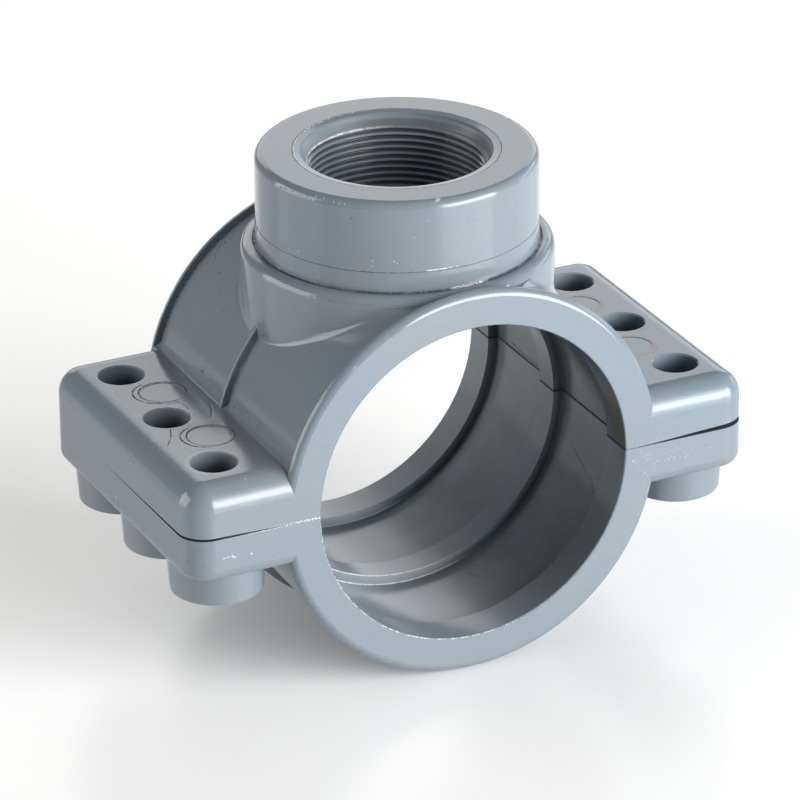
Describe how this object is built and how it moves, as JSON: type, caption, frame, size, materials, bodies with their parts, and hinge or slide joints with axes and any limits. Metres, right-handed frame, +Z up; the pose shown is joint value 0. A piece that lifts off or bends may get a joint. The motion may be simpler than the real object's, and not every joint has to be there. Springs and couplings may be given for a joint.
{
  "type": "tapping saddle",
  "caption": "Split clamp saddle for a plastic pipe, with bolt flanges on each side and a raised round branch boss that has a female pipe thread.",
  "frame": {"origin": "on the run pipe's axis, straight below the branch's axis, in the joint plane of the halves", "axes": "+X across the bolt flanges, +Y along the run pipe, +Z up the branch"},
  "size_m": [0.202, 0.1126, 0.1637],
  "materials": {
    "upper_pvc": "satin",
    "lower_pvc": "satin",
    "seal_rubber": "matte"
  },
  "bodies": {
    "root": {"upper_saddle_half": "upper_pvc", "lower_saddle_half": "lower_pvc", "outlet_seal_ring": "seal_rubber"}
  },
  "joints": []
}
